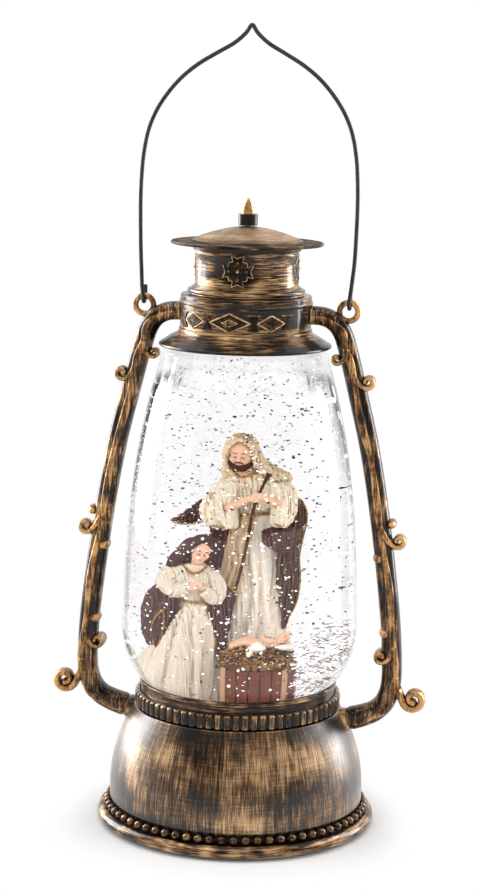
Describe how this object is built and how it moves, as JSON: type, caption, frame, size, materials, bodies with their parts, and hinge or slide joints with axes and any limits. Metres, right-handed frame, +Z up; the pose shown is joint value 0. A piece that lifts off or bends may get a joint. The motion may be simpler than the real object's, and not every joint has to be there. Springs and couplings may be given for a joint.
{
  "type": "lantern",
  "caption": "Battery lantern with a liquid-filled clear globe on a bell base, two scrolled side frames, a vented crown and a swinging wire bail.",
  "frame": {"origin": "centre of the circle of rubber pads, on the surface that they stand on", "axes": "+Z up through the finial, +X through the right side frame and one end of the bail, -Y towards the front, where the figures face"},
  "size_m": [0.1494, 0.11, 0.313],
  "materials": {
    "antique_bronze": "dark brown with dry-brushed bronze gold, satin gloss",
    "gold_trim": "bronze gold on raised edges over dark brown, satin gloss",
    "bail_wire": "matt dark grey",
    "clear_globe": "clear, polished",
    "rubber": "matt black",
    "black_plastic": "fine moulded grain",
    "white_plastic": "moulded, satin",
    "bright_steel": "plated, bright",
    "cell_jacket": "plain printed sleeve",
    "circuit_board": "green solder mask",
    "warm_led": "clear warm resin",
    "figure_paint": "hand-painted cast resin, cream with brown and gold",
    "manger_paint": "hand-painted cast resin, red brown",
    "straw_paint": "hand-painted cast resin, straw brown",
    "staff_paint": "hand-painted, dark brown"
  },
  "bodies": {
    "lantern": {"base_housing": "antique_bronze", "bead_ring": "gold_trim", "fluted_collar": "gold_trim", "bottom_cover": "black_plastic", "foot_pad_1": "rubber", "foot_pad_2": "rubber", "foot_pad_3": "rubber", "foot_pad_4": "rubber", "cover_screw_1": "bright_steel", "cover_screw_2": "bright_steel", "cover_screw_3": "bright_steel", "cover_screw_4": "bright_steel", "switch_body": "black_plastic", "cell_1": "cell_jacket", "cell_2": "cell_jacket", "cell_3": "cell_jacket", "contact_spring_1": "bright_steel", "contact_spring_2": "bright_steel", "contact_spring_3": "bright_steel", "contact_single_left": "bright_steel", "contact_bridge_left": "bright_steel", "contact_bridge_right": "bright_steel", "contact_single_right": "bright_steel", "motor": "bright_steel", "motor_bracket": "black_plastic", "light_board": "circuit_board", "led_1": "warm_led", "led_2": "warm_led", "led_3": "warm_led", "globe_plug": "clear_globe", "plug_seal": "rubber", "stage": "white_plastic", "globe": "clear_globe", "standing_figure": "figure_paint", "staff": "staff_paint", "kneeling_figure": "figure_paint", "manger": "manger_paint", "straw": "straw_paint", "infant": "figure_paint", "crown": "antique_bronze", "chimney": "antique_bronze", "hood": "antique_bronze", "finial": "gold_trim", "side_frame_right": "antique_bronze", "side_frame_left": "antique_bronze"},
    "bail": {"bail": "bail_wire"},
    "drive_rotor": {"magnet_holder": "white_plastic"},
    "impeller": {"impeller": "white_plastic"},
    "switch": {"switch_knob": "white_plastic"},
    "door": {"battery_door": "black_plastic"}
  },
  "joints": [
    {"name": "bail_swing", "type": "hinge", "parent": "lantern", "child": "bail", "pos_m": [0, 0, 0.20815], "axis": [1, 0, 0], "range_deg": [-115, 115]},
    {"name": "rotor_spin", "type": "hinge", "parent": "lantern", "child": "drive_rotor", "pos_m": [0, 0, 0.036], "axis": [0, 0, 1], "continuous": true},
    {"name": "impeller_spin", "type": "hinge", "parent": "lantern", "child": "impeller", "pos_m": [0, 0, 0.045], "axis": [0, 0, 1], "continuous": true},
    {"name": "switch_slide", "type": "slide", "parent": "lantern", "child": "switch", "axis": [1, 0, 0], "range_m": [-0.0022, 0.0022]},
    {"name": "battery_door_slide", "type": "slide", "parent": "lantern", "child": "door", "axis": [0, 0, -1], "range_m": [0, 0.03]}
  ],
  "couplings": [
    {"joint": "impeller_spin", "follows": "rotor_spin", "ratio": 1}
  ]
}
